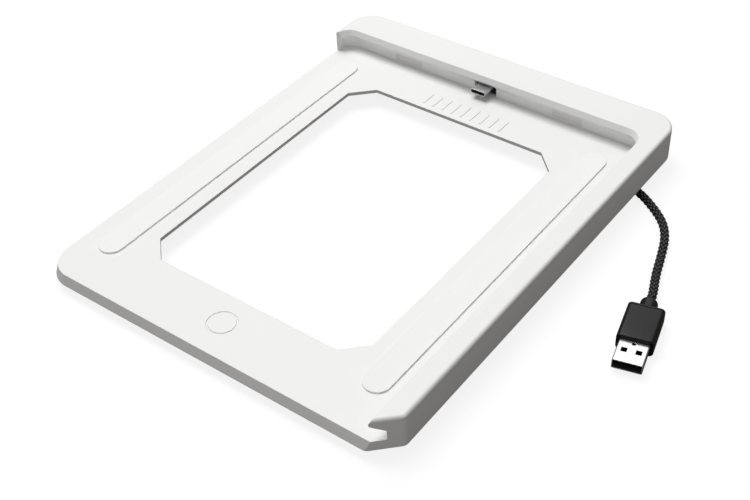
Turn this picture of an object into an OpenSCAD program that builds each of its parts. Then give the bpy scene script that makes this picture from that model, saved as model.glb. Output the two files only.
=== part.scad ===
// Tablet docking frame: a moulded tray with a raised lip and rail, a built-in
// plug for the tablet and a short braided lead to the power supply.
// The tray stands on z = 0; X runs along the lip, Y from front to back.

/* [Tray] */
// Width of the tray at its base
frame_w = 180; // [150:1:220]
// Length of the tray at its base, front to back
frame_l = 226.4; // [190:0.2:272]
// Height of the moulding above its base plane
frame_h = 15.8; // [14:0.1:18]
// Height of the tray floor above the base plane
floor_h = 4.7; // [4:0.1:5.5]
// Thickness of the floor plate
plate_t = 1.7; // [1.4:0.1:2.2]
// Thickness of the skirt under the front and left edges
skirt_t = 2; // [1.6:0.1:3]
// How far the front and left skirts lean in at the floor
skirt_lean = 1.5; // [0.5:0.1:3]
// Radius of the two left corners
left_corner_r = 14; // [8:0.5:20]
// Radius of the back right corner
right_corner_r = 12.5; // [8:0.5:16]
// Leg of the cut across the front right corner
corner_cut = 10.6; // [6:0.1:14]
// Radius along the top outer edge of the lip and rail
edge_r = 1.5; // [0.5:0.1:2]

/* [Lip and rail] */
// Thickness of the rail beside the tablet
rail_t = 4.8; // [4:0.1:7]
// Depth of the lip behind the tablet
lip_depth = 16.8; // [15:0.1:24]
// How far the rail reaches over the tablet
rail_reach = 5; // [3.5:0.1:6]
// How far the lip reaches over the tablet
lip_reach = 3.4; // [2:0.1:4]
// Height of the groove under the reach, at the wall
groove_h = 4.7; // [4:0.1:6]
// Gap between the floor and the lowest point of the reach
entry_h = 8.4; // [7.6:0.1:9]
// Width of the slanted face above the reach
bevel_w = 1.1; // [0.5:0.1:2]
// Radius of the reach in plan, at both ends of the lip
recess_r = 6.8; // [5.5:0.1:8]
// How far the lip's left end turns forward, past its reach
return_l = 5; // [3:0.1:5.4]
// Width of the lip's left end, beside its reach
return_w = 2.4; // [2:0.1:4]
// Wall left at the lip's left end, beside the groove
return_wall = 1.2; // [1:0.1:1.6]
// Wall thickness round the hollow in the lip
wall_t = 1.8; // [1.4:0.1:2.4]
// Radius of the two vertices of the front right cut
vertex_r = 3.5; // [1:0.5:4]

/* [Window and pads] */
// Floor left of the window, to the base edge
window_left = 30; // [28:0.5:36]
// Floor and rail right of the window, to the base edge
window_right = 37; // [34:0.5:44]
// Floor in front of the window, to the base edge
window_front = 31; // [24:0.5:40]
// Floor and lip behind the window, to the base edge
window_back = 43.4; // [38:0.2:52]
// Cut across each window corner
window_cut = 10; // [4:0.5:16]
// Width of a grip pad
pad_w = 11.8; // [8:0.1:13]
// Floor and lip that the length of a grip pad leaves free
pad_free = 51.4; // [46:0.2:80]
// Thickness of a grip pad
pad_t = 0.8; // [0.4:0.1:1.2]
// Distance from the edge of the tablet to the middle of each pad
pad_in = 19.4; // [16:0.2:21]
// Length of a bumper in the lip wall
bumper_l = 15.6; // [8:0.1:24]
// Height of a bumper
bumper_h = 3.4; // [2:0.1:3.6]
// Thickness of a bumper
bumper_t = 1; // [0.6:0.1:1.2]
// Distance from the plug to the middle of each bumper
bumper_offset = 45; // [30:0.5:60]

/* [Tablet plug] */
// How much narrower than the tray the tablet is
tablet_margin = 1.2; // [0.4:0.1:3]
// Height of the plug's middle above the floor
plug_h = 4.2; // [3.6:0.1:4.6]
// Width of the plug's metal shell
plug_w = 8.34; // [8.2:0.02:8.4]
// Thickness of the plug's metal shell
plug_t = 2.56; // [2.4:0.02:2.6]
// How far the plug stands out of the lip wall
plug_out = 6.9; // [6:0.1:7.5]
// Sheet thickness of the plug's metal shell
plug_shell_t = 0.3; // [0.2:0.05:0.4]
// Width of the opening for the plug
port_w = 12.2; // [11:0.1:16]
// Height of the opening for the plug, from the floor
port_h = 6.2; // [5.8:0.1:6.6]
// Width of the plug's moulded body
body_w = 11.6; // [10:0.1:15]
// Thickness of the plug's moulded body
body_t = 5.4; // [5:0.1:6]
// Depth of the plug's moulded body
body_d = 9; // [8:0.1:9.4]

/* [Lead] */
// Diameter of the braided lead
lead_d = 4; // [3.6:0.1:4.1]
// Radial clearance between the lead and what it passes through
lead_gap = 0.15; // [0.1:0.05:0.3]
// Height of the rubber feet
foot_h = 4.4; // [4.3:0.1:4.8]
// Diameter of the rubber feet
foot_d = 11; // [8:0.5:12]

/* [Supply plug] */
// Width of the supply plug's metal shell
usb_w = 12; // [11.9:0.1:12.1]
// Thickness of the supply plug's metal shell
usb_t = 4.5; // [4.4:0.1:4.6]
// How far the metal shell stands out of its body
usb_out = 12; // [11:0.1:13]
// Sheet thickness of the metal shell
usb_shell_t = 0.35; // [0.3:0.05:0.5]
// Width of the supply plug's body
grip_w = 15; // [14:0.1:17]
// Thickness of the supply plug's body
grip_t = 8.2; // [7.4:0.1:9]
// Length of the supply plug's body
grip_l = 20; // [16:0.5:24]
// Length of the collar behind the body
collar_l = 6; // [5:0.5:8]
// Diameter of the collar
collar_d = 7.4; // [6:0.1:8]

/* [Fasteners] */
// Diameter of the screw shanks
screw_d = 2; // [1.6:0.1:2.4]
// Diameter of the screw heads
screw_head_d = 4; // [3.4:0.1:4.6]
// Height of the screw heads
screw_head_h = 1.3; // [1:0.1:1.4]
// Diameter of the mounting holes
mount_d = 2.6; // [2.2:0.1:3.2]
// Depth of the mounting holes
mount_deep = 3.4; // [2.5:0.1:3.6]
// Clearance between parts that fit one in another
fit = 0.15; // [0.1:0.05:0.25]

/* [Hidden] */
$fn = 48;
eps = 0.01;

// Outer faces and levels of the tray
x_right = frame_w / 2;
x_left = -frame_w / 2;
y_back = frame_l / 2;
y_front = -frame_l / 2;
z_base = foot_h;
z_floor = z_base + floor_h;
z_under = z_floor - plate_t;
z_top = z_base + frame_h;
z_groove = z_floor + groove_h;
z_nose = z_floor + entry_h;

// Walls that the tablet rests against, and the reach over it
wall_x = x_right - rail_t;
wall_y = y_back - lip_depth;
nose_x = wall_x - rail_reach;
nose_y = wall_y - lip_reach;
recess_y = nose_y - recess_r;
recess_x = nose_x - recess_r;

// Left end of the lip
lip_left = x_left + skirt_lean;
lip_left_r = left_corner_r - skirt_lean;
return_y = nose_y - return_l;
return_x = lip_left + return_w + recess_r;

// Middle of the tablet's plug
tablet_half = (frame_w - tablet_margin) / 2;
plug_x = wall_x - tablet_half;
plug_z = z_floor + plug_h;

// Window and pads
window_w = frame_w - window_left - window_right;
window_l = frame_l - window_front - window_back;
window_x = x_left + window_left + window_w / 2;
window_y = y_front + window_front + window_l / 2;
pad_l = frame_l - pad_free;
pad_x = tablet_half - pad_in;
pad_y = window_y + 1;
bumper_z = z_groove - bumper_h - 0.3;

// Marks on the floor: a ring in front of the window, a row of ticks behind it
ring_d = 13;
ring_w = 0.8;
mark_h = 0.2;
ring_y = y_front + 17.2;
tick_count = 9;
tick_pitch = 5.3;
tick_w = 1.2;
tick_l = 9;
tick_y = wall_y - 18.9;

// Two vertices of the front right cut
vertex_run = vertex_r * tan(22.5);
front_vertex = [x_right - corner_cut - vertex_run, y_front + vertex_r];
right_vertex = [x_right - vertex_r, y_front + corner_cut + vertex_run];

// Hollow under the floor, inside the skirts and the rib in front of the lip
rib_t = 2;
under_x0 = lip_left + skirt_t;
under_x1 = x_right - 1.5 * skirt_t;
under_y0 = y_front + skirt_lean + skirt_t;
under_y1 = wall_y - rib_t;
under_r = 9;
joist_t = 1.6;
joist_out = 4;

// Hollow inside the lip
cave_y0 = wall_y + wall_t;
cave_y1 = y_back - wall_t;
cave_x0 = x_left + left_corner_r;
cave_x1 = x_right - right_corner_r;
cave_top = z_top - wall_t;
cave_r = 3;

// Screws, their holes and the bosses that take them
pilot_d = screw_d + 0.1;
screw_hole_d = screw_d + 0.3;
socket_d = 1.8;
socket_deep = 0.7;
boss_d = 5.2;
small_boss_d = 4.2;

// Cover under the lip, let into the base and held by four screws
cover_t = 1.6;
cover_ledge = 0.9;
cover_z = z_base + cover_t;
cover_screw_l = 6;
pilot_deep = 6;
boss_x = [cave_x0 + 5, plug_x - 24, plug_x + 48, cave_x1 - 5];
boss_y = cave_y1 - boss_d / 2 + 0.6;

// Plug body and the clamp that holds it up against the lip
body_y0 = cave_y0;
plug_tip_y = wall_y - plug_out;
plug_in = 4.2;
body_z0 = plug_z - body_t / 2;
clamp_t = 2;
clamp_l = 6;
clamp_y = body_y0 + 7.6;
clamp_x = body_w / 2 + 3.6;
clamp_screw_l = 6;

// Pieces inside the plug
cavity_w = 6.4;
cavity_h = 0.9;
cavity_deep = 6;
contact_count = 12;
contact_pitch = 0.5;
contact_w = 0.26;
contact_t = 0.15;
board_w = 8.6;
board_t = 0.8;
board_l = 3.8;
board_room = 2.6;

// Saddle that holds the lead up inside the lip
saddle_at = [plug_x + 30, body_y0 + 6.6, plug_z];
saddle_span = 4.55;
saddle_end = 1.6;
saddle_side = 0.5;
saddle_l = 5;
saddle_t = 1.8;
saddle_screw_l = 5;

// Feet and mounting holes
foot_peg_d = 5;
foot_peg_h = 2;
foot_boss_d = 10;
foot_x = [x_left + 18, x_right - 16];
foot_y = [y_front + 16, wall_y - 26];
mount_boss_d = 7;
mount_y = [y_front + 53.2, y_back - 65.2];

// Grommet in the lip's front wall
lead_r = lead_d / 2;
lead_hole_d = lead_d + 2 * lead_gap;
grommet_w = 8;
grommet_flange = 1.2;
grommet_wall = 0.85;
grommet_at = [x_right - 24, under_y1 - grommet_flange, 5];
notch_z = grommet_at.z + lead_hole_d / 2 + grommet_wall;
cover_slot_w = 10;
cover_slot_y = cave_y0 + 8;

// Route of the lead inside the lip, first from the plug body, then to the grommet
body_exit = [plug_x + body_w / 2, body_y0 + 2.8, plug_z];
LEAD_IN = concat(
    [for (p = [[0, 0, 0], [4.4, 0, 0], [8.4, 0.4, 0], [12.4, 1.6, 0], [16.4, 2.9, 0],
               [20.4, 3.6, 0], [24.2, 3.8, 0], [28.4, 3.8, 0]]) body_exit + p],
    [for (p = [[-26, 11.6, 7.7], [-20, 11.6, 6.8], [-15, 12, 5.7], [-10, 12.6, 4.4],
               [-6, 12.2, 3.4], [-2.8, 10.6, 2.4], [-0.8, 8, 0.9], [0, 5, 0.05],
               [0, 2.4, 0], [0, 0, 0]]) grommet_at + p]
);

// Route of the free lead: from the grommet, under the rail, to the collar
LEAD_OUT = [for (p = [
    [0, 0, 5], [0, -3.2, 5], [0.9, -6.1, 4.5], [3.1, -8.6, 3.6], [6.2, -10.6, 2.7],
    [10, -12.2, 2.2], [14.4, -13.6, 2.05], [19, -15, 2.05], [23.6, -16.8, 2.05],
    [28.1, -19.2, 2.05], [32.3, -22, 2.05], [36.4, -25.1, 2.05], [40.1, -28.4, 2.05],
    [43.2, -32, 2.05], [45.8, -36.2, 2.05], [48, -41, 2.05], [50, -46.7, 2.05],
    [52, -53, 2.05], [54, -59.6, 2.1], [56.2, -65.8, 2.6], [58.3, -71.2, 3.4],
    [59.9, -75.7, 4.1], [60.9, -79.7, 4.1]
]) [grommet_at.x, grommet_at.y, 0] + p];
lead_sides = 12;
rings_in = 28;
rings_out = 46;

// Supply plug, at the end of the lead and in line with it
usb_at = LEAD_OUT[len(LEAD_OUT) - 1];
usb_run = usb_at - LEAD_OUT[len(LEAD_OUT) - 2];
usb_turn = atan2(usb_run.y, usb_run.x);
grip_r = 1.6;
grip_end = collar_l + grip_l;
usb_in = 8;
usb_tip = grip_end + usb_out;
usb_back = grip_end - usb_in;
usb_r = 0.6;
usb_hole = 2.4;
usb_hole_gap = 5.8;
usb_hole_x = 5.5;
usb_notch_d = 1.6;
usb_notch_x = 1.5;
tongue_t = 1.9;
tongue_back = 0.6;
pin_count = 4;
pin_pitch = 2.2;
pin_w = 1;
pin_t = 0.2;
pin_l = 7.5;

// ---------- outlines and helpers ----------

// Outline of the tray at its base
module tray_outline() {
    difference() {
        union() {
            translate([x_left + left_corner_r, y_front]) square([frame_w - left_corner_r, frame_l]);
            translate([x_left, y_front + left_corner_r])
                square([frame_w, frame_l - 2 * left_corner_r]);
            for (y = [y_front + left_corner_r, y_back - left_corner_r])
                translate([x_left + left_corner_r, y]) circle(r = left_corner_r);
        }
        back_corner_cut(x_right - right_corner_r, right_corner_r, 1);
        front_right_cut();
    }
}

// What rounding removes from a back corner, in plan: side is 1 right, -1 left
module back_corner_cut(x, r, side) {
    translate([x, y_back - r]) mirror([side < 0 ? 1 : 0, 0]) difference() {
        square(r + 2);
        circle(r = r);
    }
}

// What the cut removes from the front right corner, in plan
module front_right_cut() {
    difference() {
        polygon([[front_vertex.x, y_front - 1], [x_right + 1, y_front - 1],
                 [x_right + 1, right_vertex.y], [right_vertex.x, right_vertex.y],
                 [front_vertex.x, front_vertex.y]]);
        translate(front_vertex) circle(r = vertex_r);
        translate(right_vertex) circle(r = vertex_r);
        polygon([front_vertex, front_vertex + vertex_r * [cos(45), -sin(45)],
                 right_vertex + vertex_r * [cos(45), -sin(45)], right_vertex]);
    }
}

// Rectangle with a 45 degree cut across each corner, about its middle
module cut_rectangle(w, l, c) {
    polygon([[-w / 2 + c, -l / 2], [w / 2 - c, -l / 2], [w / 2, -l / 2 + c],
             [w / 2, l / 2 - c], [w / 2 - c, l / 2], [-w / 2 + c, l / 2],
             [-w / 2, l / 2 - c], [-w / 2, -l / 2 + c]]);
}

// Slot shape with round ends, along Y
module stadium(w, l) {
    square([w, l - w], center = true);
    for (s = [-1, 1]) translate([0, s * (l - w) / 2]) circle(d = w);
}

// Rectangle with rounded corners, about its middle
module round_rectangle(w, l, r) {
    square([w - 2 * r, l], center = true);
    square([w, l - 2 * r], center = true);
    for (sx = [-1, 1], sy = [-1, 1])
        translate([sx * (w / 2 - r), sy * (l / 2 - r)]) circle(r = r);
}

// Rectangle with rounded corners between two corner points
module round_box(x0, y0, x1, y1, r) {
    translate([(x0 + x1) / 2, (y0 + y1) / 2]) round_rectangle(x1 - x0, y1 - y0, r);
}

// Places its children so that their x, y, z run along X, Z and -Y
module upright() {
    rotate([90, 0, 0]) children();
}

// Socket screw pointing up, with the underside of its head at z = 0
module screw(l) {
    cylinder(d = screw_d, h = l);
    translate([0, 0, -screw_head_h]) difference() {
        cylinder(d = screw_head_d, h = screw_head_h);
        translate([0, 0, -eps]) cylinder(d = socket_d, h = socket_deep, $fn = 6);
    }
}

// ---------- swept lead ----------

// Point on a Catmull-Rom curve through the points p, at u from 0 to 1
function route_at(p, u) =
    let (n = len(p) - 1, s = min(u * n, n - eps / 10), i = floor(s), t = s - i,
         a = p[max(i - 1, 0)], b = p[i], c = p[i + 1], d = p[min(i + 2, n)])
    0.5 * (2 * b + (c - a) * t + (2 * a - 5 * b + 4 * c - d) * t * t
           + (3 * b - 3 * c + d - a) * t * t * t);

function unit(v) = v / norm(v);

// Direction of the curve at ring k of n
function heading(p, k, n) =
    k == 0 ? unit(p[1] - p[0])
    : k == n ? unit(p[len(p) - 1] - p[len(p) - 2])
    : unit(route_at(p, (k + 0.5) / n) - route_at(p, (k - 0.5) / n));

// One ring of the tube: points round the curve, square to its heading
function ring(p, k, n, r) =
    let (o = k == n ? p[len(p) - 1] : route_at(p, k / n), h = heading(p, k, n),
         side = unit(cross(h, [0, 0, 1])), up = cross(side, h))
    [for (j = [0:lead_sides - 1]) let (a = 360 * j / lead_sides)
        o + r * (cos(a) * side + sin(a) * up)];

// Closed tube of radius r swept along the points p in n steps
module tube(p, n, r) {
    m = lead_sides;
    points = [for (k = [0:n]) each ring(p, k, n, r)];
    sides = [for (k = [0:n - 1], j = [0:m - 1])
        [k * m + j, (k + 1) * m + j, (k + 1) * m + (j + 1) % m, k * m + (j + 1) % m]];
    start = [[for (j = [0:m - 1]) j]];
    finish = [[for (j = [m - 1:-1:0]) n * m + j]];
    polyhedron(points, concat(sides, start, finish));
}

// ---------- tray ----------

// Section of the space that the lip or rail leaves for the tablet: x = 0 is
// the reach's lowest point, positive x is under it, and y is height
module recess_section(inner, reach) {
    polygon([[-inner, z_floor], [reach, z_floor], [reach, z_groove], [0, z_nose],
             [bevel_w, z_top], [bevel_w, z_top + 1], [-inner, z_top + 1]]);
}

// Space that the recess takes out of the rail, the lip and their corner
module recess() {
    translate([nose_x, recess_y, 0]) upright() linear_extrude(frame_l)
        recess_section(nose_x - lip_left, rail_reach);
    translate([return_x, nose_y, 0]) rotate([90, 0, 90]) linear_extrude(recess_x - return_x)
        recess_section(recess_r, lip_reach);
    translate([recess_x, recess_y, 0]) recess_turn();
    intersection() {
        translate([return_x, recess_y, 0]) recess_turn();
        translate([lip_left + return_wall, y_front, 0]) cube([frame_w, frame_l, 2 * z_top]);
    }
}

// Recess section turned about the middle of a rounded end
module recess_turn() {
    rotate_extrude() translate([recess_r, 0]) recess_section(recess_r, lip_reach);
}

// Cutter section that rounds a top edge: x runs into the material
module edge_cutter() {
    difference() {
        translate([-1, -edge_r]) square([edge_r + 1, edge_r + 1]);
        translate([edge_r, -edge_r]) circle(r = edge_r);
    }
}

// Rounds the top edge from the point p, along the angle a, material on its left
module round_edge(p, a, l) {
    translate([p.x, p.y, z_top]) rotate([0, 0, a]) translate([-eps, 0, 0]) rotate([90, 0, 90])
        linear_extrude(l + 2 * eps) edge_cutter();
}

// Rounds the top edge along an arc of radius r about the point c
module round_arc(c, r, a, sweep) {
    translate([c.x, c.y, z_top]) rotate([0, 0, a]) rotate_extrude(angle = sweep)
        translate([r, 0]) mirror([1, 0, 0]) edge_cutter();
}

// Rounds the whole outer top edge of the rail and lip
module round_top_edge() {
    out = vertex_r * [cos(45), -sin(45)];
    back_right = [x_right - right_corner_r, y_back - right_corner_r];
    back_left = [lip_left + lip_left_r, y_back - lip_left_r];
    round_edge(front_vertex + out, 45, norm(right_vertex - front_vertex) + vertex_run);
    round_edge([x_right, right_vertex.y - vertex_run], 90,
               back_right.y - right_vertex.y + vertex_run);
    round_arc(back_right, right_corner_r, 0, 90);
    round_edge([back_right.x, y_back], 180, back_right.x - back_left.x);
    round_arc(back_left, lip_left_r, 90, 90);
    round_edge([lip_left, back_left.y], 270, back_left.y - return_y);
}

// The lip, the rail and the short turn at the lip's left end
module ledge() {
    difference() {
        translate([0, 0, z_under]) linear_extrude(z_top - z_under) intersection() {
            tray_outline();
            difference() {
                union() {
                    translate([lip_left, return_y]) square([frame_w, frame_l]);
                    translate([nose_x, y_front]) square([frame_w, frame_l]);
                }
                back_corner_cut(lip_left + lip_left_r, lip_left_r, -1);
            }
        }
        recess();
        round_top_edge();
    }
}

// Section of what the lean takes off the front and left faces
module lean_section() {
    polygon([[-1, z_base - 1], [0, z_base - 1], [0, z_base], [skirt_lean, z_floor],
             [skirt_lean, z_top + 1], [-1, z_top + 1]]);
}

// What leans the front and left skirts in, and the turned corner between them
module lean_cutter() {
    corner = [x_left + left_corner_r, y_front + left_corner_r];
    translate([corner.x, y_front, 0]) rotate([90, 0, 90]) linear_extrude(frame_w) lean_section();
    translate([x_left, y_back - left_corner_r, 0]) upright()
        linear_extrude(frame_l - 2 * left_corner_r) lean_section();
    translate(corner) rotate([0, 0, 180]) rotate_extrude(angle = 90)
        translate([left_corner_r, 0]) mirror([1, 0, 0]) lean_section();
}

// Hollow under the floor plate
module under_hollow() {
    translate([0, 0, z_base - 1]) linear_extrude(z_under - z_base + 1) difference() {
        round_box(under_x0, under_y0, under_x1, under_y1, under_r);
        translate([-skirt_t * sqrt(2), skirt_t * sqrt(2)]) front_right_cut();
    }
}

// Ribs beside the window, and bosses for the feet and mounting holes
module tray_underside() {
    joist_l = window_y + window_l / 2 - under_y0;
    for (s = [-1, 1])
        translate([window_x + s * (window_w / 2 + joist_out) - joist_t / 2, under_y0 - 1, z_base])
            cube([joist_t, joist_l, z_under - z_base + eps]);
    for (x = foot_x, y = foot_y) translate([x, y, z_base])
        cylinder(d = foot_boss_d, h = z_under - z_base + eps);
    for (s = [-1, 1], y = mount_y) translate([plug_x + s * pad_x, y, z_base])
        cylinder(d = mount_boss_d, h = z_under - z_base + eps);
}

// Hollow in the lip, with the ledge that its cover sits in
module lip_cave() {
    translate([0, 0, z_base - 1]) linear_extrude(cave_top - z_base + 1)
        round_box(cave_x0, cave_y0, cave_x1, cave_y1, cave_r);
    translate([0, 0, z_base - 1]) linear_extrude(cover_t + 1)
        round_box(cave_x0 - cover_ledge, cave_y0 - cover_ledge, cave_x1 + cover_ledge,
                  cave_y1 + cover_ledge, cave_r + cover_ledge);
}

// Bosses in the lip for the cover, the plug clamp and the lead saddle
module lip_bosses() {
    for (x = boss_x) translate([x, boss_y, cover_z])
        cylinder(d = boss_d, h = cave_top - cover_z + eps);
    for (s = [-1, 1]) {
        translate([plug_x + s * clamp_x, clamp_y, body_z0])
            cylinder(d = small_boss_d, h = cave_top - body_z0 + eps);
        translate(saddle_at + [0, s * saddle_span, 0])
            cylinder(d = small_boss_d, h = cave_top - saddle_at.z + eps);
    }
    // stop above the plug body, and rib above the saddle
    translate([plug_x - body_w / 2, body_y0 + 1, body_z0 + body_t])
        cube([body_w, body_d - 2, cave_top - body_z0 - body_t + eps]);
    translate(saddle_at - [saddle_l / 2, saddle_span, 0])
        cube([saddle_l, 2 * saddle_span, cave_top - saddle_at.z + eps]);
}

// Holes for the screws, the feet and whatever the tray is mounted on
module frame_holes() {
    for (x = boss_x) translate([x, boss_y, cover_z - eps]) cylinder(d = pilot_d, h = pilot_deep);
    for (s = [-1, 1]) {
        translate([plug_x + s * clamp_x, clamp_y, body_z0 - eps])
            cylinder(d = pilot_d, h = clamp_screw_l);
        translate(saddle_at + [0, s * saddle_span, -eps])
            cylinder(d = pilot_d, h = saddle_screw_l - 1);
    }
    for (x = foot_x, y = foot_y) translate([x, y, z_base - eps])
        cylinder(d = foot_peg_d, h = foot_peg_h + 0.3);
    for (s = [-1, 1], y = mount_y) translate([plug_x + s * pad_x, y, z_base - eps])
        cylinder(d = mount_d, h = mount_deep);
}

// Openings in the lip's front wall for the plug, the bumpers and the grommet
module wall_openings() {
    translate([plug_x - port_w / 2, nose_y, z_floor])
        cube([port_w, cave_y0 - nose_y + eps, port_h]);
    for (s = [-1, 1])
        translate([plug_x + s * bumper_offset - bumper_l / 2, wall_y - eps, bumper_z])
            cube([bumper_l, bumper_t + eps, bumper_h]);
    translate([grommet_at.x - grommet_w / 2, under_y1 - eps, z_base - 1])
        cube([grommet_w, cave_y0 - under_y1 + 2 * eps, notch_z - z_base + 1]);
    translate(saddle_at - [saddle_l / 2 + 1, 0, 0]) rotate([0, 90, 0])
        cylinder(d = lead_hole_d, h = saddle_l + 2);
}

module frame() {
    color("#f0f0ee") difference() {
        union() {
            difference() {
                union() {
                    translate([0, 0, z_base]) linear_extrude(floor_h) tray_outline();
                    ledge();
                }
                lean_cutter();
                under_hollow();
                lip_cave();
            }
            tray_underside();
            lip_bosses();
            ticks();
        }
        translate([window_x, window_y, z_base - 1]) linear_extrude(frame_h)
            cut_rectangle(window_w, window_l, window_cut);
        wall_openings();
        frame_holes();
        ring_mark();
    }
}

// Engraved ring in front of the window
module ring_mark() {
    translate([window_x, ring_y, z_floor - mark_h]) difference() {
        cylinder(d = ring_d, h = 1);
        translate([0, 0, -1]) cylinder(d = ring_d - 2 * ring_w, h = 3);
    }
}

// Raised ticks behind the window
module ticks() {
    for (i = [0:tick_count - 1])
        translate([window_x + (i - (tick_count - 1) / 2) * tick_pitch, tick_y, z_floor - eps])
            linear_extrude(mark_h + eps) stadium(tick_w, tick_l);
}

// ---------- pieces on the tray ----------

module lip_cover() {
    e = cover_ledge - fit;
    color("#e6e6e4") translate([0, 0, z_base]) difference() {
        linear_extrude(cover_t) difference() {
            round_box(cave_x0 - e, cave_y0 - e, cave_x1 + e, cave_y1 + e, cave_r + e);
            translate([grommet_at.x - cover_slot_w / 2, cave_y0 - 2])
                square([cover_slot_w, cover_slot_y - cave_y0 + 2]);
        }
        for (x = boss_x) translate([x, boss_y, -1]) cylinder(d = screw_hole_d, h = cover_t + 2);
    }
}

module cover_screws() {
    color("#9a9a9c") for (x = boss_x) translate([x, boss_y, z_base]) screw(cover_screw_l);
}

module grip_pad(side) {
    color("#f4f4f2") translate([plug_x + side * pad_x, pad_y, z_floor])
        linear_extrude(pad_t) stadium(pad_w, pad_l);
}

module bumper(side) {
    color("#c9ccc8")
        translate([plug_x + side * bumper_offset - bumper_l / 2 + fit, wall_y + fit, bumper_z])
            cube([bumper_l - 2 * fit, bumper_t - fit, bumper_h - fit]);
}

module rubber_feet() {
    color("#3a3a3c") for (x = foot_x, y = foot_y) translate([x, y, 0]) {
        cylinder(d = foot_d, h = foot_h);
        translate([0, 0, foot_h - eps]) cylinder(d = foot_peg_d - 0.2, h = foot_peg_h + eps);
    }
}

// ---------- tablet plug, inside and in front of the lip ----------

// Extrudes a section, drawn about the plug's middle, from y0 to y1
module along_plug(y0, y1) {
    translate([plug_x, y1, plug_z]) upright() linear_extrude(y1 - y0) children();
}

module plug_section(inset) {
    rotate(90) stadium(plug_t - 2 * inset, plug_w - 2 * inset);
}

module plug_shell() {
    color("#c8c9cc") along_plug(plug_tip_y, body_y0 + plug_in) difference() {
        plug_section(0);
        plug_section(plug_shell_t);
    }
}

module plug_insulator() {
    color("#1c1c1e") difference() {
        along_plug(plug_tip_y + 0.2, body_y0 + plug_in) plug_section(plug_shell_t);
        along_plug(plug_tip_y - 1, plug_tip_y + cavity_deep)
            square([cavity_w, cavity_h], center = true);
    }
}

module plug_contacts() {
    first = -(contact_count - 1) / 2 * contact_pitch;
    color("#d6b25e") for (i = [0:contact_count - 1], s = [-1, 1])
        along_plug(plug_tip_y + 1, plug_tip_y + cavity_deep)
            translate([first + i * contact_pitch, s * (cavity_h - contact_t) / 2])
                square([contact_w, contact_t], center = true);
}

module plug_board() {
    color("#2f6b4a") along_plug(body_y0 + plug_in, body_y0 + plug_in + board_l)
        square([board_w, board_t], center = true);
}

module plug_body() {
    color("#2a2a2c") difference() {
        along_plug(body_y0, body_y0 + body_d) round_rectangle(body_w, body_t, 1);
        along_plug(body_y0 - 1, body_y0 + plug_in) plug_section(0);
        along_plug(body_y0 + plug_in - eps, body_y0 + plug_in + board_l)
            square([board_w, board_room], center = true);
    }
}

module plug_clamp() {
    w = 2 * clamp_x + small_boss_d;
    color("#b4b5b8") translate([plug_x, clamp_y, body_z0 - clamp_t]) difference() {
        linear_extrude(clamp_t) rotate(90) stadium(clamp_l, w);
        for (s = [-1, 1]) translate([s * clamp_x, 0, -1])
            cylinder(d = screw_hole_d, h = clamp_t + 2);
    }
}

module clamp_screws() {
    color("#9a9a9c") for (s = [-1, 1])
        translate([plug_x + s * clamp_x, clamp_y, body_z0 - clamp_t]) screw(clamp_screw_l);
}

// ---------- lead ----------

module inner_lead() {
    color("#1a1a1c") tube(LEAD_IN, rings_in, lead_r);
}

module lead_saddle() {
    w = 2 * (saddle_span + saddle_end);
    pocket_t = lead_r + saddle_t;
    color("#2a2a2c") translate(saddle_at) difference() {
        union() {
            translate([-saddle_l / 2, -w / 2, -saddle_t]) cube([saddle_l, w, saddle_t]);
            translate([-saddle_l / 2, -lead_r - saddle_side, -pocket_t])
                cube([saddle_l, lead_d + 2 * saddle_side, pocket_t]);
        }
        translate([-saddle_l, 0, 0]) rotate([0, 90, 0])
            cylinder(d = lead_hole_d, h = 2 * saddle_l);
        for (s = [-1, 1]) translate([0, s * saddle_span, -saddle_t - 1])
            cylinder(d = screw_hole_d, h = saddle_t + 2);
    }
}

module saddle_screws() {
    color("#9a9a9c") for (s = [-1, 1])
        translate(saddle_at + [0, s * saddle_span, -saddle_t]) screw(saddle_screw_l);
}

module exit_grommet() {
    bottom = grommet_at.z - lead_hole_d / 2 - grommet_wall;
    neck_w = grommet_w - 2 * fit;
    flange_w = grommet_w + 2 * grommet_flange;
    color("#1a1a1c") difference() {
        union() {
            translate([grommet_at.x - neck_w / 2, grommet_at.y, bottom])
                cube([neck_w, cave_y0 - grommet_at.y, z_under - fit - bottom]);
            translate([grommet_at.x - neck_w / 2, under_y1, bottom])
                cube([neck_w, cave_y0 - under_y1, notch_z - fit - bottom]);
            translate([grommet_at.x - flange_w / 2, grommet_at.y, bottom])
                cube([flange_w, grommet_flange, z_under - fit - bottom]);
        }
        translate([grommet_at.x, cave_y0 + 1, grommet_at.z]) upright()
            cylinder(d = lead_hole_d, h = cave_y0 - grommet_at.y + 2);
    }
}

module lead() {
    color("#1a1a1c") tube(LEAD_OUT, rings_out, lead_r);
}

// ---------- supply plug ----------

// Places children along the end of the lead, x pointing to the plug's mouth
module at_supply_plug(x) {
    translate(usb_at) rotate([0, 0, usb_turn]) translate([x, 0, 0]) children();
}

// Extrudes a section, y across the plug and z up, along the supply plug
module along_supply_plug(x0, x1) {
    at_supply_plug(x0) rotate([90, 0, 90]) linear_extrude(x1 - x0) children();
}

module usb_section(inset) {
    round_rectangle(usb_w - 2 * inset, usb_t - 2 * inset, usb_r - inset / 2);
}

module collar() {
    color("#161618") at_supply_plug(0) rotate([0, 90, 0]) cylinder(d = collar_d, h = collar_l);
}

module supply_plug_body() {
    color("#161618") difference() {
        along_supply_plug(collar_l, grip_end) round_rectangle(grip_w, grip_t, grip_r);
        along_supply_plug(usb_back, grip_end + 1) usb_section(0);
    }
}

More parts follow.
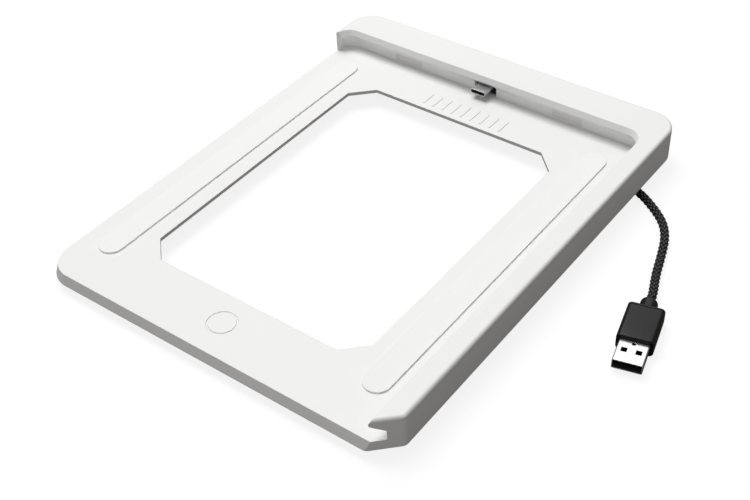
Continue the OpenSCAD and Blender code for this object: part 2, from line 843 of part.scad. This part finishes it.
module supply_plug_shell() {
    color("#c8c9cc") difference() {
        along_supply_plug(usb_back, usb_tip) difference() {
            usb_section(0);
            usb_section(usb_shell_t);
        }
        for (s = [-1, 1])
            at_supply_plug(grip_end + usb_hole_x) translate([0, s * usb_hole_gap / 2, -usb_t])
                translate([-usb_hole / 2, -usb_hole / 2, 0]) cube([usb_hole, usb_hole, 2 * usb_t]);
        at_supply_plug(grip_end + usb_notch_x) cylinder(d = usb_notch_d, h = usb_t);
    }
}

module supply_plug_insulator() {
    z0 = -usb_t / 2 + usb_shell_t;
    inner_w = usb_w - 2 * usb_shell_t;
    color("#1c1c1e") {
        along_supply_plug(usb_back, grip_end) usb_section(usb_shell_t);
        along_supply_plug(grip_end - eps, usb_tip - tongue_back) intersection() {
            usb_section(usb_shell_t);
            translate([-inner_w / 2, z0]) square([inner_w, tongue_t]);
        }
    }
}

module supply_plug_contacts() {
    z0 = -usb_t / 2 + usb_shell_t + tongue_t;
    first = -(pin_count - 1) / 2 * pin_pitch;
    color("#d6b25e") for (i = [0:pin_count - 1])
        at_supply_plug(usb_tip - tongue_back - 1 - pin_l)
            translate([0, first + i * pin_pitch - pin_w / 2, z0]) cube([pin_l, pin_w, pin_t]);
}

// ---------- what is drawn ----------

frame();
lip_cover();
cover_screws();
grip_pad(-1);  // left_grip_pad
grip_pad(1);  // right_grip_pad
bumper(-1);  // left_bumper
bumper(1);  // right_bumper
rubber_feet();
plug_shell();
plug_insulator();
plug_contacts();
plug_board();
plug_body();
plug_clamp();
clamp_screws();
inner_lead();
lead_saddle();
saddle_screws();
exit_grommet();
lead();
collar();
supply_plug_body();
supply_plug_shell();
supply_plug_insulator();
supply_plug_contacts();
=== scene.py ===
"""Looks of the tablet charging frame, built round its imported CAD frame."""

import math

import bpy
import numpy as np
from mathutils import Matrix, Vector


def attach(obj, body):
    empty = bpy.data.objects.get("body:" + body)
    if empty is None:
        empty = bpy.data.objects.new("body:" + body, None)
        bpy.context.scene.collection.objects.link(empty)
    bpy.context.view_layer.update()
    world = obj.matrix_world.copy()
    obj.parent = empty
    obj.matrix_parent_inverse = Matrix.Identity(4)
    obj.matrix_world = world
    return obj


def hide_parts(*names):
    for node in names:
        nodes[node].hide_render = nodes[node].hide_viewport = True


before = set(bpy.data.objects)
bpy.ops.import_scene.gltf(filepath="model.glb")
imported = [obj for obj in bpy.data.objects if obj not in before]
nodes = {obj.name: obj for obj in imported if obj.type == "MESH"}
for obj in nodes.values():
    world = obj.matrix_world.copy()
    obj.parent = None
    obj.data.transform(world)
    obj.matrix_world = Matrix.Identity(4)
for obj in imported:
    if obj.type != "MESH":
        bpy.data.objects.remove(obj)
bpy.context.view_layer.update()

MM = 0.001
BODY = "root"


# ---------- camera ----------
# A short telephoto, about half a metre above the counter, looking down over
# the tray's front right corner towards the lip.

CAMERA_AT = Vector((266.31, -338.68, 352.72)) * MM
camera_data = bpy.data.cameras.new("camera")
camera_data.sensor_width = 36.0
camera_data.lens = 60.37
camera_data.clip_start = 0.01
camera_data.clip_end = 20.0
camera = bpy.data.objects.new("camera", camera_data)
bpy.context.scene.collection.objects.link(camera)
bpy.context.scene.camera = camera
camera_right = Vector((0.80375, 0.59384, -0.03653))
camera_up = Vector((-0.36693, 0.54309, 0.75525))
camera_back = Vector((0.46834, -0.59363, 0.65441))
camera_turn = Matrix((camera_right, camera_up, camera_back)).transposed()
camera.matrix_world = Matrix.Translation(CAMERA_AT) @ camera_turn.to_4x4()


# ---------- braided lead ----------
# A round lead of four wires in a woven polyester sleeve, about 108 mm long.
# It leaves the grommet under the tray, runs out beneath the rail, lies on the
# counter in one loose bend and rises into the collar of the supply plug.

LEAD_D = 4.0 * MM
GROMMET = (66.0, 93.2, 0.0)
LEAD_ROUTE = [
    (0, 0, 5), (0, -3.2, 5), (0.9, -6.1, 4.5), (3.1, -8.6, 3.6), (6.2, -10.6, 2.7),
    (10, -12.2, 2.2), (14.4, -13.6, 2.05), (19, -15, 2.05), (23.6, -16.8, 2.05),
    (28.1, -19.2, 2.05), (32.3, -22, 2.05), (36.4, -25.1, 2.05), (40.1, -28.4, 2.05),
    (43.2, -32, 2.05), (45.8, -36.2, 2.05), (48, -41, 2.05), (50, -46.7, 2.05),
    (52, -53, 2.05), (54, -59.6, 2.1), (56.2, -65.8, 2.6), (58.3, -71.2, 3.4),
    (59.9, -75.7, 4.1), (60.9, -79.7, 4.1),
]
lead_points = np.array([np.add(GROMMET, point) for point in LEAD_ROUTE]) * MM


STEPS_PER_SPAN = 40


def smooth_route(points, steps):
    """Evenly spaced points along a Catmull-Rom curve through the given ones, and its length."""
    padded = np.vstack([2 * points[0] - points[1], points, 2 * points[-1] - points[-2]])
    dense = []
    for i in range(len(points) - 1):
        a, b, c, d = padded[i:i + 4]
        for t in np.linspace(0, 1, STEPS_PER_SPAN, endpoint=False):
            dense.append(0.5 * (2 * b + (c - a) * t + (2 * a - 5 * b + 4 * c - d) * t ** 2
                                + (3 * b - 3 * c + d - a) * t ** 3))
    dense.append(points[-1])
    dense = np.array(dense)
    run = np.concatenate([[0], np.cumsum(np.linalg.norm(np.diff(dense, axis=0), axis=1))])
    at = np.linspace(0, run[-1], steps + 1)
    return np.column_stack([np.interp(at, run, dense[:, k]) for k in range(3)]), run[-1]


BRAID_CARRIERS = 12
BRAID_PITCH = 16.8 * MM
BRAID_DEPTH = 0.42 * MM
FLOAT_END = 0.6


def braid_height(turn, along):
    """Height, 0 to 1, of a braid whose yarns cross over and under each other as short floats."""
    half = BRAID_CARRIERS / 2
    right = (turn + along / BRAID_PITCH) * half
    left = (turn - along / BRAID_PITCH) * half
    across_right = np.abs(np.sin(np.pi * right))
    across_left = np.abs(np.sin(np.pi * left))
    right_on_top = ((np.floor(right) + np.floor(left)) % 2) < 1
    return np.where(right_on_top, across_right * across_left ** FLOAT_END,
                    across_left * across_right ** FLOAT_END)


# rings square to the path, turned so that they never twist
LEAD_RINGS = 520
LEAD_SIDES = 96
lead_path, lead_length = smooth_route(lead_points, LEAD_RINGS)
lead_at = np.linspace(0, lead_length, LEAD_RINGS + 1)
tangents = np.gradient(lead_path, axis=0)
tangents /= np.linalg.norm(tangents, axis=1)[:, None]
sides = np.cross(tangents, (0, 0, 1))
sides /= np.linalg.norm(sides, axis=1)[:, None]
ups = np.cross(sides, tangents)
turns = np.linspace(0, 1, LEAD_SIDES, endpoint=False)
turn_grid, along_grid = np.meshgrid(turns, lead_at)
heights = braid_height(turn_grid, along_grid)
radii = LEAD_D / 2 - BRAID_DEPTH * (1 - heights)
ring_x = np.cos(2 * np.pi * turn_grid) * radii
ring_z = np.sin(2 * np.pi * turn_grid) * radii
lead_verts = (lead_path[:, None, :] + ring_x[..., None] * sides[:, None, :]
              + ring_z[..., None] * ups[:, None, :]).reshape(-1, 3)
lead_faces = []
for k in range(LEAD_RINGS):
    for j in range(LEAD_SIDES):
        n = (j + 1) % LEAD_SIDES
        lead_faces.append((k * LEAD_SIDES + j, k * LEAD_SIDES + n,
                           (k + 1) * LEAD_SIDES + n, (k + 1) * LEAD_SIDES + j))
first_ring = range(LEAD_SIDES)
last_ring = range(LEAD_RINGS * LEAD_SIDES, (LEAD_RINGS + 1) * LEAD_SIDES)
lead_faces.append(tuple(reversed(first_ring)))
lead_faces.append(tuple(last_ring))
lead_mesh = bpy.data.meshes.new("braided_lead")
lead_mesh.from_pydata(lead_verts.tolist(), [], lead_faces)
lead_uv = lead_mesh.uv_layers.new(name="braid")
braid_value = lead_mesh.attributes.new("braid_height", "FLOAT", "POINT")
braid_value.data.foreach_set("value", heights.ravel().astype(np.float32))
for polygon in lead_mesh.polygons:
    wraps = max(v % LEAD_SIDES for v in polygon.vertices) == LEAD_SIDES - 1
    for loop in polygon.loop_indices:
        v = lead_mesh.loops[loop].vertex_index
        turn = (v % LEAD_SIDES) / LEAD_SIDES
        if wraps and turn < 0.5 and polygon.index < LEAD_RINGS * LEAD_SIDES:
            turn += 1.0
        lead_uv.data[loop].uv = (turn, lead_at[v // LEAD_SIDES] / (math.pi * LEAD_D))
    polygon.use_smooth = True
lead = bpy.data.objects.new("braided_lead", lead_mesh)
bpy.context.scene.collection.objects.link(lead)
bpy.ops.object.select_all(action="DESELECT")
bpy.context.view_layer.objects.active = lead
lead.select_set(True)
bpy.ops.object.mode_set(mode="EDIT")
bpy.ops.mesh.select_all(action="SELECT")
bpy.ops.mesh.normals_make_consistent(inside=False)
bpy.ops.object.mode_set(mode="OBJECT")
lead.select_set(False)


def new_material(name):
    """An empty node material with its Principled shader and output."""
    material = bpy.data.materials.new(name)
    material.use_nodes = True
    tree = material.node_tree
    return material, tree, tree.nodes["Principled BSDF"]


def add_node(tree, kind, **inputs):
    """A shader node with the given input values; spaces in names are underscores."""
    node = tree.nodes.new(kind)
    for name, value in inputs.items():
        node.inputs[name.replace("_", " ")].default_value = value
    return node


EDGE_SAMPLES = 4


def add_bump(tree, shader, height, strength, distance, edge=0.0):
    """Bumps a shader by a height, over edges that look rounded to a radius."""
    bump = add_node(tree, "ShaderNodeBump", Strength=strength, Distance=distance)
    tree.links.new(height, bump.inputs["Height"])
    if edge:
        round_edge = add_node(tree, "ShaderNodeBevel", Radius=edge)
        round_edge.samples = EDGE_SAMPLES
        tree.links.new(round_edge.outputs["Normal"], bump.inputs["Normal"])
    tree.links.new(bump.outputs["Normal"], shader.inputs["Normal"])


def add_tone(tree, shader, mask, dark, light):
    """Colours a shader between a dark and a light tone by a mask."""
    tone = tree.nodes.new("ShaderNodeMix")
    tone.data_type = "RGBA"
    tone.inputs[6].default_value = (*dark, 1)
    tone.inputs[7].default_value = (*light, 1)
    tree.links.new(mask, tone.inputs[0])
    tree.links.new(tone.outputs[2], shader.inputs["Base Color"])


braid, tree, shader = new_material("black_braid")
height = tree.nodes.new("ShaderNodeAttribute")
height.attribute_name = "braid_height"
yarn_uv = tree.nodes.new("ShaderNodeUVMap")
yarn_uv.uv_map = "braid"
fibres = add_node(tree, "ShaderNodeTexNoise", Scale=46.0, Detail=6.0, Roughness=0.7)
tree.links.new(yarn_uv.outputs["UV"], fibres.inputs["Vector"])
# The braid's base colour is painted light: it follows the yarns' height, so the gaps between the
# yarns get painted shade and the yarn crests a painted highlight, with a little random tone from
# the fibre noise.
tone = tree.nodes.new("ShaderNodeValToRGB")
tone.color_ramp.elements[0].position = 0.3
tone.color_ramp.elements[0].color = (0.0004, 0.0004, 0.0005, 1)
tone.color_ramp.elements[1].color = (0.1, 0.1, 0.104, 1)
worn = add_node(tree, "ShaderNodeMapRange", To_Min=0.72, To_Max=1.1)
fuzz = add_node(tree, "ShaderNodeMapRange", To_Min=0.38, To_Max=0.6)
yarn_painted_light_and_grain = tree.nodes.new("ShaderNodeMath")
yarn_painted_light_and_grain.operation = "MULTIPLY"
tree.links.new(fibres.outputs["Fac"], worn.inputs["Value"])
tree.links.new(height.outputs["Fac"], yarn_painted_light_and_grain.inputs[0])
tree.links.new(worn.outputs["Result"], yarn_painted_light_and_grain.inputs[1])
tree.links.new(yarn_painted_light_and_grain.outputs["Value"], tone.inputs["Fac"])
tree.links.new(tone.outputs["Color"], shader.inputs["Base Color"])
tree.links.new(fibres.outputs["Fac"], fuzz.inputs["Value"])
tree.links.new(fuzz.outputs["Result"], shader.inputs["Roughness"])
add_bump(tree, shader, fibres.outputs["Fac"], 0.35, 0.06 * MM)
shader.inputs["Specular IOR Level"].default_value = 0.12
lead.data.materials.append(braid)
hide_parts("lead")
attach(lead, BODY)


# ---------- supply plug's collar ----------
# A short round sleeve moulded round the lead's end in the same satin black as
# the plug, slightly tapered and well rounded at its back.

COLLAR_L = 6.0 * MM
COLLAR_D = 7.4 * MM
COLLAR_ROUND = 1.3 * MM
COLLAR_BACK_D = 7.0 * MM
SMOOTH_ANGLE = math.radians(40)
plug_start = Vector(lead_points[-1])
plug_run = Vector(lead_points[-1] - lead_points[-2])
plug_turn = Matrix.Rotation(math.atan2(plug_run.y, plug_run.x), 4, "Z")
plug_place = Matrix.Translation(plug_start) @ plug_turn


def choose(obj, kind, test):
    """In edit mode, selects only the faces that pass a test, or the edges whose ends do."""
    bpy.ops.object.mode_set(mode="OBJECT")
    mesh = obj.data
    for element in (*mesh.vertices, *mesh.edges, *mesh.polygons):
        element.select = False
    if kind == "EDGE":
        for edge in mesh.edges:
            edge.select = test([mesh.vertices[v].co for v in edge.vertices])
    else:
        for face in mesh.polygons:
            face.select = test(face)
    bpy.ops.object.mode_set(mode="EDIT")
    bpy.ops.mesh.select_mode(type=kind)


def seat(obj, place):
    """Leaves edit mode, shades a piece smooth and moves its mesh to its place."""
    bpy.ops.object.mode_set(mode="OBJECT")
    bpy.ops.object.transform_apply(location=True, rotation=True, scale=True)
    bpy.ops.object.shade_smooth_by_angle(angle=SMOOTH_ANGLE)
    obj.data.transform(place)


bpy.ops.object.select_all(action="DESELECT")
bpy.ops.mesh.primitive_cylinder_add(vertices=72, radius=COLLAR_D / 2, depth=COLLAR_L,
                                    location=(COLLAR_L / 2, 0, 0), rotation=(0, math.pi / 2, 0))
collar = bpy.context.active_object
collar.name = "lead_collar"
# the cylinder's own axis is Z until its turn is applied: -Z is its back end
choose(collar, "FACE", lambda face: face.normal.z < -0.9)
bpy.ops.transform.resize(value=(1, COLLAR_BACK_D / COLLAR_D, COLLAR_BACK_D / COLLAR_D))
choose(collar, "EDGE", lambda ends: all(v.z < -COLLAR_L * 0.49 for v in ends))
bpy.ops.mesh.bevel(offset=COLLAR_ROUND, segments=7)
seat(collar, plug_place)


# Fine grain of moulded plastic: a spark-eroded mould leaves a random pebbled
# skin. The group puts out a height for bump and a slow drift of tone.
grain_group = bpy.data.node_groups.new("mould_grain", "ShaderNodeTree")
grain_group.interface.new_socket("Scale", in_out="INPUT", socket_type="NodeSocketFloat")
grain_group.interface.new_socket("Height", in_out="OUTPUT", socket_type="NodeSocketFloat")
grain_group.interface.new_socket("Drift", in_out="OUTPUT", socket_type="NodeSocketFloat")
group_in = grain_group.nodes.new("NodeGroupInput")
group_out = grain_group.nodes.new("NodeGroupOutput")
grain_place = grain_group.nodes.new("ShaderNodeTexCoord")
fine = add_node(grain_group, "ShaderNodeTexNoise", Detail=3.0, Roughness=0.6)
coarse = add_node(grain_group, "ShaderNodeTexNoise", Scale=22.0, Detail=3.0, Roughness=0.5)
grain_group.links.new(grain_place.outputs["Object"], fine.inputs["Vector"])
grain_group.links.new(grain_place.outputs["Object"], coarse.inputs["Vector"])
grain_group.links.new(group_in.outputs["Scale"], fine.inputs["Scale"])
grain_group.links.new(fine.outputs["Fac"], group_out.inputs["Height"])
grain_group.links.new(coarse.outputs["Fac"], group_out.inputs["Drift"])


def moulded(name, dark, light, rough, scale, strength, edge=0.0, shine=0.5):
    """A moulded plastic or rubber: two close tones, grain in its bump, and soft edges."""
    material, tree, shader = new_material(name)
    grain = tree.nodes.new("ShaderNodeGroup")
    grain.node_tree = grain_group
    grain.inputs["Scale"].default_value = scale
    add_tone(tree, shader, grain.outputs["Drift"], dark, light)
    gloss = add_node(tree, "ShaderNodeMapRange", From_Min=0.3, From_Max=0.7,
                     To_Min=rough - 0.05, To_Max=rough + 0.05)
    tree.links.new(grain.outputs["Height"], gloss.inputs["Value"])
    tree.links.new(gloss.outputs["Result"], shader.inputs["Roughness"])
    add_bump(tree, shader, grain.outputs["Height"], strength, 0.04 * MM, edge)
    shader.inputs["Specular IOR Level"].default_value = shine
    return material


black_gloss = moulded("satin_black", (0.003, 0.003, 0.0032), (0.005, 0.005, 0.0052),
                      0.3, 2600.0, 0.25, shine=0.26)
collar.data.materials.append(black_gloss)
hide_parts("collar")
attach(collar, BODY)


# ---------- supply plug's body ----------
# A satin black overmould round the plug's shell and the lead's wires, well
# rounded along its long edges and softly broken round both ends.

GRIP_L = 20.0 * MM
GRIP_W = 15.0 * MM
GRIP_T = 8.2 * MM
GRIP_MID = COLLAR_L + GRIP_L / 2
GRIP_ROUND = 1.9 * MM
GRIP_END_ROUND = 0.6 * MM
GROOVE_X = COLLAR_L + 1.1 * MM
GROOVE_W = 0.4 * MM
GROOVE_DEEP = 0.3 * MM
bpy.ops.object.select_all(action="DESELECT")
bpy.ops.mesh.primitive_cube_add(size=1.0, location=(GRIP_MID, 0, 0), scale=(GRIP_L, GRIP_W, GRIP_T))
grip = bpy.context.active_object
grip.name = "supply_plug_grip"
bpy.ops.object.transform_apply(location=True, rotation=True, scale=True)
choose(grip, "EDGE", lambda ends: abs(ends[0].x - ends[1].x) > GRIP_L / 2)
bpy.ops.mesh.bevel(offset=GRIP_ROUND, segments=7)
choose(grip, "EDGE", lambda ends: all(abs(v.x - GRIP_MID) > GRIP_L * 0.499 for v in ends)
       and abs(ends[0].x - ends[1].x) < GRIP_L / 2)
bpy.ops.mesh.bevel(offset=GRIP_END_ROUND, segments=4)
# a narrow groove runs round the body just in front of its back end
for x in (GROOVE_X, GROOVE_X + GROOVE_W):
    choose(grip, "FACE", lambda face: True)
    bpy.ops.mesh.bisect(plane_co=(x, 0, 0), plane_no=(1, 0, 0))
choose(grip, "FACE", lambda face: GROOVE_X < face.center.x < GROOVE_X + GROOVE_W)
bpy.ops.mesh.extrude_region_move()
bpy.ops.transform.resize(value=(1, 1 - 2 * GROOVE_DEEP / GRIP_W, 1 - 2 * GROOVE_DEEP / GRIP_T))
seat(grip, plug_place)
grip.data.materials.append(black_gloss)
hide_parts("supply_plug_body")
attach(grip, BODY)


# ---------- metal plug shells, contacts and screws ----------
# Drawn sheet steel, bright nickel plated; the contacts are gold plated and the
# screws zinc plated. All of them keep their CAD shapes.

DULL = 0.86


def metal(name, colour, rough, scale, edge=0.0):
    """A plated metal with fine drawing lines and a little uneven gloss."""
    material, tree, shader = new_material(name)
    place = tree.nodes.new("ShaderNodeTexCoord")
    stretch = add_node(tree, "ShaderNodeMapping")
    stretch.inputs["Scale"].default_value = (1.0, 0.06, 1.0)
    lines = add_node(tree, "ShaderNodeTexNoise", Scale=scale, Detail=4.0, Roughness=0.65)
    tree.links.new(place.outputs["Object"], stretch.inputs["Vector"])
    tree.links.new(stretch.outputs["Vector"], lines.inputs["Vector"])
    gloss = add_node(tree, "ShaderNodeMapRange", To_Min=rough - 0.06, To_Max=rough + 0.08)
    tree.links.new(lines.outputs["Fac"], gloss.inputs["Value"])
    tree.links.new(gloss.outputs["Result"], shader.inputs["Roughness"])
    add_tone(tree, shader, lines.outputs["Fac"], [DULL * c for c in colour], colour)
    shader.inputs["Metallic"].default_value = 1.0
    add_bump(tree, shader, lines.outputs["Fac"], 0.12, 0.02 * MM, edge)
    return material


def dress(material, *names):
    """Gives CAD nodes their material."""
    for name in names:
        mesh = nodes[name].data
        mesh.materials.clear()
        mesh.materials.append(material)


dress(metal("plug_nickel", (0.78, 0.78, 0.79), 0.22, 3200.0, 0.12 * MM),
      "plug_shell", "supply_plug_shell")
dress(metal("contact_gold", (0.84, 0.62, 0.26), 0.24, 4200.0),
      "plug_contacts", "supply_plug_contacts")
dress(metal("screw_zinc", (0.52, 0.52, 0.54), 0.34, 2400.0),
      "cover_screws", "clamp_screws", "saddle_screws")
dress(metal("clamp_steel", (0.58, 0.58, 0.6), 0.38, 1800.0), "plug_clamp")


# ---------- black inner pieces ----------
# Insulators, the plug's overmould, the lead saddle and the grommet are all
# small black mouldings; the board is a green laminate.

dress(moulded("black_insulator", (0.003, 0.003, 0.0032), (0.005, 0.005, 0.0052),
              0.42, 3000.0, 0.2, shine=0.2),
      "plug_insulator", "supply_plug_insulator")
dress(moulded("black_overmould", (0.003, 0.003, 0.0032), (0.005, 0.005, 0.0052),
              0.5, 2600.0, 0.3, shine=0.2),
      "plug_body", "lead_saddle")
dress(moulded("grommet_rubber", (0.012, 0.012, 0.012), (0.018, 0.018, 0.018), 0.7, 1800.0, 0.4),
      "exit_grommet")
dress(moulded("board_green", (0.01, 0.07, 0.035), (0.014, 0.09, 0.045), 0.3, 900.0, 0.1),
      "plug_board")
dress(moulded("inner_sleeve", (0.008, 0.008, 0.008), (0.016, 0.016, 0.016), 0.7, 3600.0, 0.5),
      "inner_lead")


# ---------- tray and its cover ----------
# One white moulding with a fine matt grain, and a plain cover of the same
# plastic screwed under the lip. Edges are broken by a small radius.

dress(moulded("white_plastic", (0.835, 0.835, 0.828), (0.86, 0.86, 0.855),
              0.5, 2200.0, 0.22, 0.35 * MM),
      "frame")
dress(moulded("cover_plastic", (0.8, 0.8, 0.79), (0.83, 0.83, 0.825),
              0.52, 2200.0, 0.22, 0.2 * MM),
      "lip_cover")


# ---------- pads, bumpers and feet ----------
# The grip pads are thin matt silicone strips stuck to the floor; the bumpers
# are grey silicone blocks in the lip's wall; the feet are dark rubber pegs.

dress(moulded("pad_silicone", (0.86, 0.86, 0.855), (0.885, 0.885, 0.88),
              0.62, 1500.0, 0.3, 0.25 * MM),
      "left_grip_pad", "right_grip_pad")
dress(moulded("bumper_silicone", (0.76, 0.745, 0.72), (0.79, 0.78, 0.755), 0.6, 1500.0, 0.3),
      "left_bumper", "right_bumper")
dress(moulded("foot_rubber", (0.02, 0.02, 0.021), (0.03, 0.03, 0.031), 0.75, 1600.0, 0.5),
      "rubber_feet")


# ---------- counter and light ----------
# A wide pale counter with a faint glow of its own, a large soft light overhead,
# a weak warm one on the right, a weak one in front, and a pale room.

COUNTER_SIZE = 8.0
COUNTER_Z = -0.05 * MM
ORIGIN = (0, 0, 0)
bpy.ops.object.select_all(action="DESELECT")
bpy.ops.mesh.primitive_plane_add(size=COUNTER_SIZE, location=(0, 0, COUNTER_Z))
counter = bpy.context.active_object
counter.name = "counter"
counter_paint, tree, shader = new_material("counter_paint")
shader.inputs["Base Color"].default_value = (0.14, 0.14, 0.14, 1)
shader.inputs["Roughness"].default_value = 0.9
shader.inputs["Emission Color"].default_value = (1, 1, 1, 1)
shader.inputs["Emission Strength"].default_value = 0.86
dim = add_node(tree, "ShaderNodeBsdfDiffuse", Color=(0.125, 0.118, 0.108, 1))
seen = tree.nodes.new("ShaderNodeLightPath")
either = tree.nodes.new("ShaderNodeMixShader")
tree.links.new(seen.outputs["Is Camera Ray"], either.inputs[0])
tree.links.new(dim.outputs["BSDF"], either.inputs[1])
tree.links.new(shader.outputs["BSDF"], either.inputs[2])
tree.links.new(either.outputs["Shader"], tree.nodes["Material Output"].inputs["Surface"])
counter.data.materials.append(counter_paint)

world = bpy.data.worlds.new("room")
bpy.context.scene.world = world
world.use_nodes = True
world.node_tree.nodes["Background"].inputs["Color"].default_value = (1, 1, 1, 1)
world.node_tree.nodes["Background"].inputs["Strength"].default_value = 0.25


def soft_light(name, place, aim, size, watts):
    """A square area light of a given size in metres, aimed at a point."""
    data = bpy.data.lights.new(name, "AREA")
    data.shape = "SQUARE"
    data.size = size
    data.energy = watts
    light = bpy.data.objects.new(name, data)
    bpy.context.scene.collection.objects.link(light)
    away = (Vector(place) - Vector(aim)).normalized()
    turn = away.to_track_quat("Z", "Y").to_matrix().to_4x4()
    light.matrix_world = Matrix.Translation(place) @ turn
    return light


soft_light("overhead", (-0.42, 0.16, 1.3), ORIGIN, 0.8, 15.4)
soft_light("front_fill", (0.1, -1.2, 0.25), ORIGIN, 0.9, 1.5)
fill = soft_light("right_fill", (1.2, -0.1, 0.35), ORIGIN, 0.9, 0.6)
fill.data.color = (1.0, 0.9, 0.8)
# the card is only seen in reflections: it brightens bare metal and gloss
card = soft_light("card", (-0.2, 0.95, 0.95), (0.1, 0, 0), 1.3, 6.0)
card.visible_diffuse = False
bpy.context.scene.view_settings.view_transform = "Standard"
